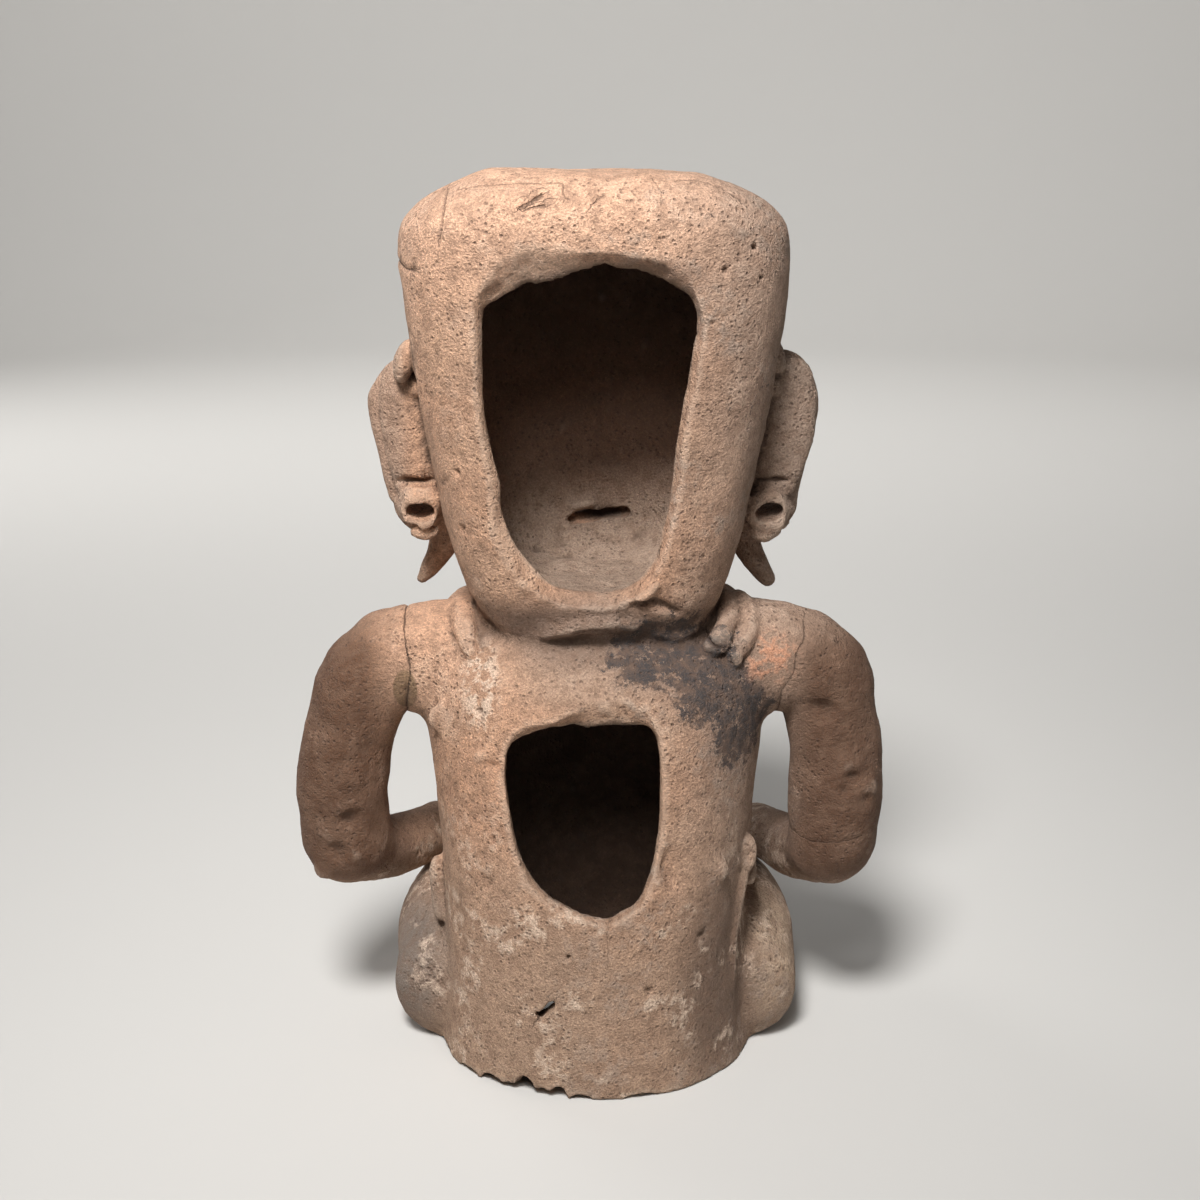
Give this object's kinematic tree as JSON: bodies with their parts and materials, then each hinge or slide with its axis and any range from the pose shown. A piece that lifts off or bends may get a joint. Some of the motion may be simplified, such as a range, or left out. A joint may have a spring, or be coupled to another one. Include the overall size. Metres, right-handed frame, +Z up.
{
  "type": "pottery seated figure",
  "caption": "Hollow fired-clay figure seated cross-legged with hands on knees, its tall head and its back open in windows, open below, standing on its rim and legs.",
  "frame": {"origin": "middle of the outline, on the surface the figure stands on", "axes": "+Z up, +Y the way the figure faces, +X to the left of the figure's own face, so the open back is at -Y"},
  "size_m": [0.338, 0.2586, 0.5],
  "materials": {
    "fired_clay": "matte unglazed fired clay, burnished in places, worn and stained"
  },
  "bodies": {
    "root": {"figure": "fired_clay"}
  },
  "joints": []
}
